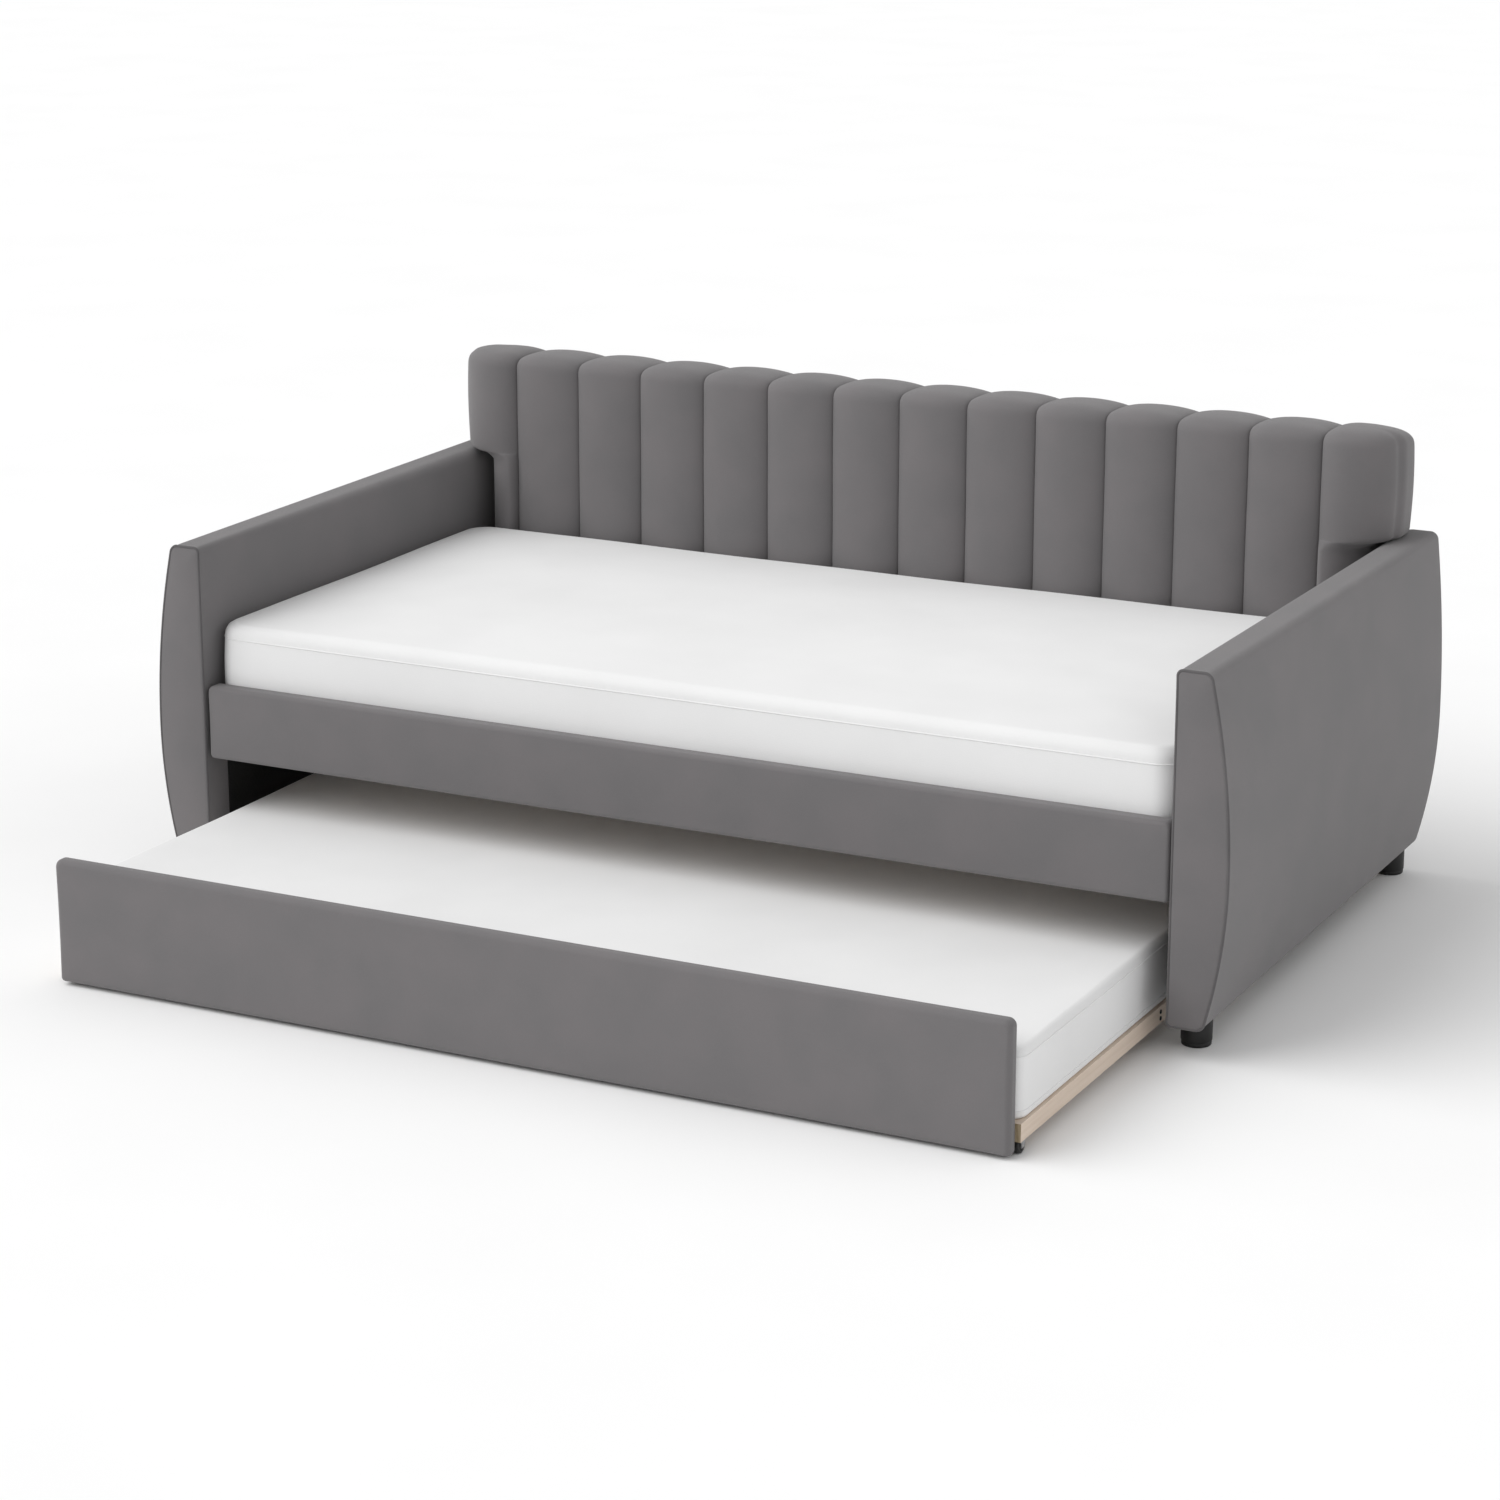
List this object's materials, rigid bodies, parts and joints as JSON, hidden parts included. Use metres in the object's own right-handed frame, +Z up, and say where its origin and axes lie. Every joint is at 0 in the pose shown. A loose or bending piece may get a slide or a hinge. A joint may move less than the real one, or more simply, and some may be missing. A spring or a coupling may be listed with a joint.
{
  "type": "trundle bed",
  "caption": "Upholstered daybed with a channelled backrest, curved arms and slatted base, over a low slatted pull-out bed on casters, each with its mattress.",
  "frame": {"origin": "on the floor, midway between the arms' outer sides and midway between the trundle's front and the bed's back, with the trundle drawn as it rests", "axes": "+Z up, +X to the right seen from the front, +Y towards the backrest; the trundle rolls out along -Y"},
  "size_m": [2.1598, 1.753, 0.8933],
  "materials": {
    "grey_upholstery": "matt woven upholstery fabric",
    "mattress_ticking": "smooth white knitted ticking",
    "black_lining": "black non-woven lining",
    "pale_timber": "planed pale softwood and birch slats, unvarnished",
    "plated_steel": "zinc-plated pressed steel",
    "foot_plastic": "black moulded plastic, satin",
    "wheel_rubber": "black solid tyre"
  },
  "bodies": {
    "bed": {"left_arm_frame": "pale_timber", "left_arm_cover": "grey_upholstery", "left_arm_base_cloth": "black_lining", "left_arm_lining": "black_lining", "left_front_foot": "foot_plastic", "left_back_foot": "foot_plastic", "right_arm_frame": "pale_timber", "right_arm_cover": "grey_upholstery", "right_arm_base_cloth": "black_lining", "right_arm_lining": "black_lining", "right_front_foot": "foot_plastic", "right_back_foot": "foot_plastic", "front_rail_cover": "grey_upholstery", "front_rail_board": "pale_timber", "front_ledger": "pale_timber", "back_ledger": "pale_timber", "bed_slat_1": "pale_timber", "bed_slat_2": "pale_timber", "bed_slat_3": "pale_timber", "bed_slat_4": "pale_timber", "bed_slat_5": "pale_timber", "bed_slat_6": "pale_timber", "bed_slat_7": "pale_timber", "bed_slat_8": "pale_timber", "bed_slat_9": "pale_timber", "bed_slat_10": "pale_timber", "bed_slat_11": "pale_timber", "left_front_bracket": "plated_steel", "left_back_bracket": "plated_steel", "right_front_bracket": "plated_steel", "right_back_bracket": "plated_steel", "back_frame": "pale_timber", "backrest_cushion": "grey_upholstery", "back_cloth": "grey_upholstery", "bed_mattress": "mattress_ticking"},
    "trundle": {"trundle_front_cover": "grey_upholstery", "trundle_front_board": "pale_timber", "trundle_left_rail": "pale_timber", "trundle_right_rail": "pale_timber", "trundle_front_rail": "pale_timber", "trundle_centre_rail": "pale_timber", "trundle_back_rail": "pale_timber", "trundle_slat_1": "pale_timber", "trundle_slat_2": "pale_timber", "trundle_slat_3": "pale_timber", "trundle_slat_4": "pale_timber", "trundle_slat_5": "pale_timber", "trundle_slat_6": "pale_timber", "trundle_slat_7": "pale_timber", "trundle_slat_8": "pale_timber", "trundle_slat_9": "pale_timber", "trundle_left_front_caster_fork": "plated_steel", "trundle_left_back_caster_fork": "plated_steel", "trundle_right_front_caster_fork": "plated_steel", "trundle_right_back_caster_fork": "plated_steel", "trundle_mattress": "mattress_ticking"},
    "left_front_wheel": {"trundle_left_front_wheel": "wheel_rubber"},
    "left_back_wheel": {"trundle_left_back_wheel": "wheel_rubber"},
    "right_front_wheel": {"trundle_right_front_wheel": "wheel_rubber"},
    "right_back_wheel": {"trundle_right_back_wheel": "wheel_rubber"}
  },
  "joints": [
    {"name": "trundle_slide", "type": "slide", "parent": "bed", "child": "trundle", "axis": [0, -1, 0], "range_m": [-0.555, 0.45]},
    {"name": "left_front_wheel_spin", "type": "hinge", "parent": "trundle", "child": "left_front_wheel", "pos_m": [-0.9225, -0.8298, 0.015], "axis": [1, 0, 0], "continuous": true},
    {"name": "left_back_wheel_spin", "type": "hinge", "parent": "trundle", "child": "left_back_wheel", "pos_m": [-0.9225, 0.1092, 0.015], "axis": [1, 0, 0], "continuous": true},
    {"name": "right_front_wheel_spin", "type": "hinge", "parent": "trundle", "child": "right_front_wheel", "pos_m": [0.9225, -0.8298, 0.015], "axis": [1, 0, 0], "continuous": true},
    {"name": "right_back_wheel_spin", "type": "hinge", "parent": "trundle", "child": "right_back_wheel", "pos_m": [0.9225, 0.1092, 0.015], "axis": [1, 0, 0], "continuous": true}
  ],
  "couplings": [
    {"joint": "left_front_wheel_spin", "follows": "trundle_slide", "rad_per_m": 66.667},
    {"joint": "left_back_wheel_spin", "follows": "trundle_slide", "rad_per_m": 66.667},
    {"joint": "right_front_wheel_spin", "follows": "trundle_slide", "rad_per_m": 66.667},
    {"joint": "right_back_wheel_spin", "follows": "trundle_slide", "rad_per_m": 66.667}
  ]
}
